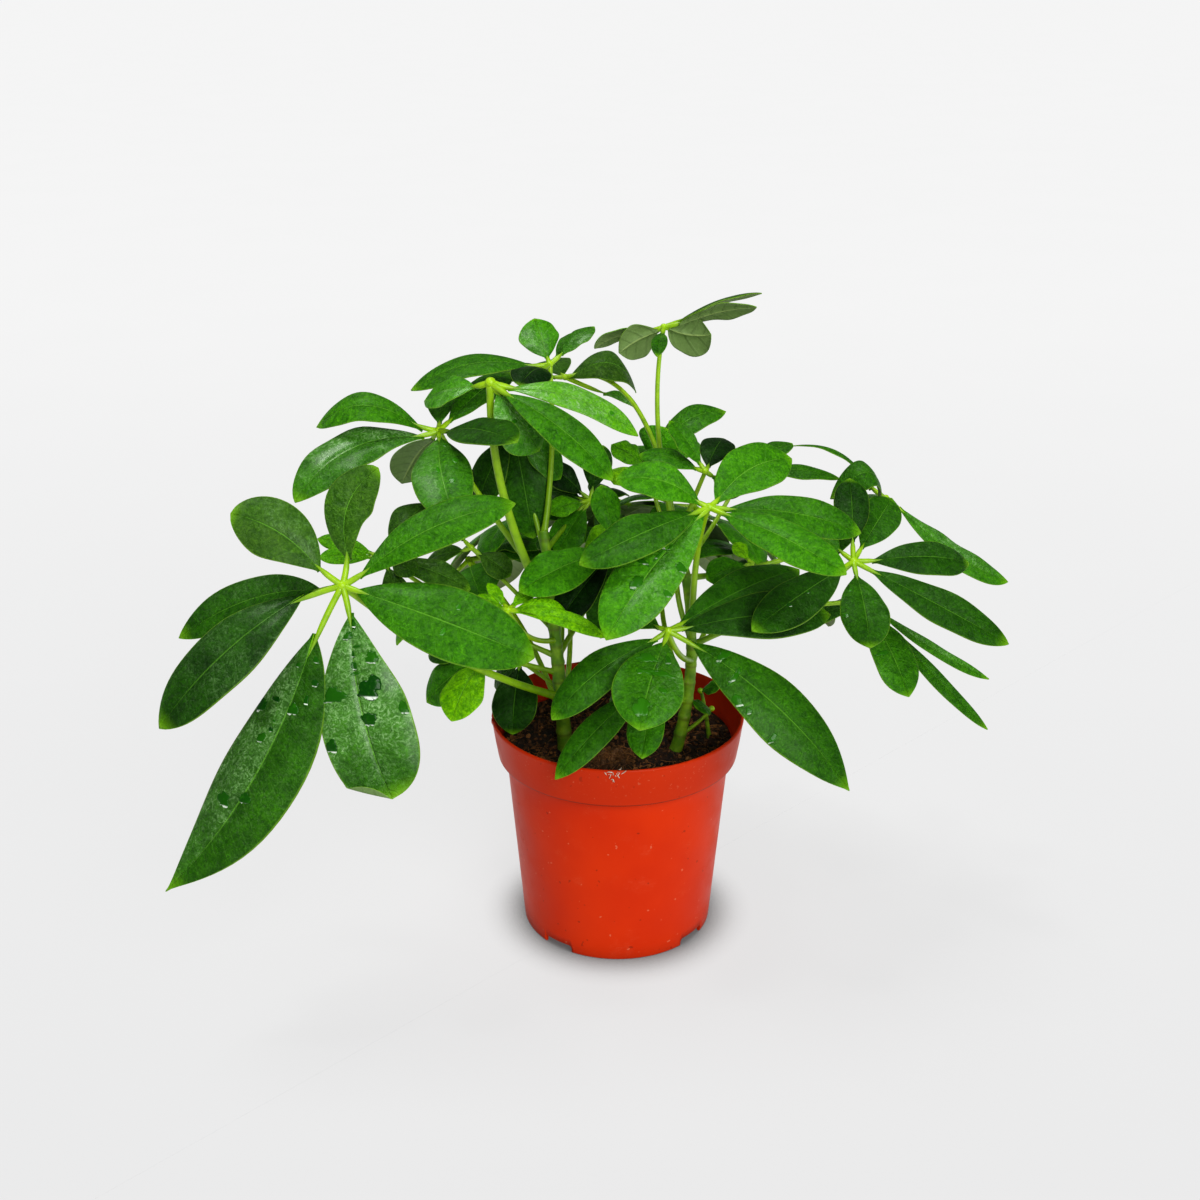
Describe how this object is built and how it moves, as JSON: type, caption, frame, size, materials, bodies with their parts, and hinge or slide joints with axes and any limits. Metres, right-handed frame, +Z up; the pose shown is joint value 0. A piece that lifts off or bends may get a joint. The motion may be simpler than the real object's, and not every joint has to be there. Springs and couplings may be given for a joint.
{
  "type": "potted umbrella plant",
  "caption": "Bushy umbrella plant with fans of glossy oval leaflets on long leaf stalks, growing from slim stems in a tapered plastic nursery pot of soil.",
  "frame": {"origin": "centre of the pot's underside, on the plane that the pot stands on", "axes": "+Z up along the pot's axis, +X to the right as seen from the front, +Y to the back"},
  "size_m": [0.3824, 0.2535, 0.302],
  "materials": {
    "pot_plastic": "satin",
    "soil": "matte",
    "stem_bark": "satin",
    "leaf_green": "satin",
    "leaf_young": "satin",
    "leaf_yellow": "satin"
  },
  "bodies": {
    "root": {"pot": "pot_plastic", "soil": "soil", "stem_1": "stem_bark", "stem_2": "stem_bark", "stem_3": "stem_bark", "leaf_left_front": "leaf_green", "leaf_right_front": "leaf_green", "leaf_front_low": "leaf_green", "leaf_right_outer": "leaf_green", "leaf_young_bright": "leaf_young", "leaf_left_low": "leaf_young", "leaf_front_lowest": "leaf_green", "leaf_left_upper": "leaf_green", "leaf_upper_middle": "leaf_green", "leaf_top_left": "leaf_green", "leaf_top_right": "leaf_green", "leaf_right_back": "leaf_green", "leaf_right_low": "leaf_green", "leaf_right_bud": "leaf_green", "leaf_centre": "leaf_green", "leaf_centre_back": "leaf_green", "leaf_right_upper": "leaf_green", "leaf_top_back": "leaf_green", "leaf_left_inner": "leaf_green", "leaf_left_small": "leaf_green", "leaf_middle_left": "leaf_green", "leaf_middle": "leaf_green", "leaf_inner": "leaf_green", "leaf_young_yellow": "leaf_yellow", "leaf_over_rim": "leaf_green", "leaf_basal": "leaf_green", "leaf_back_1": "leaf_green", "leaf_back_2": "leaf_green", "leaf_back_3": "leaf_green", "leaf_back_4": "leaf_green", "leaf_back_5": "leaf_green", "leaf_back_6": "leaf_green", "leaf_back_7": "leaf_green", "leaf_seedling": "leaf_green"}
  },
  "joints": []
}
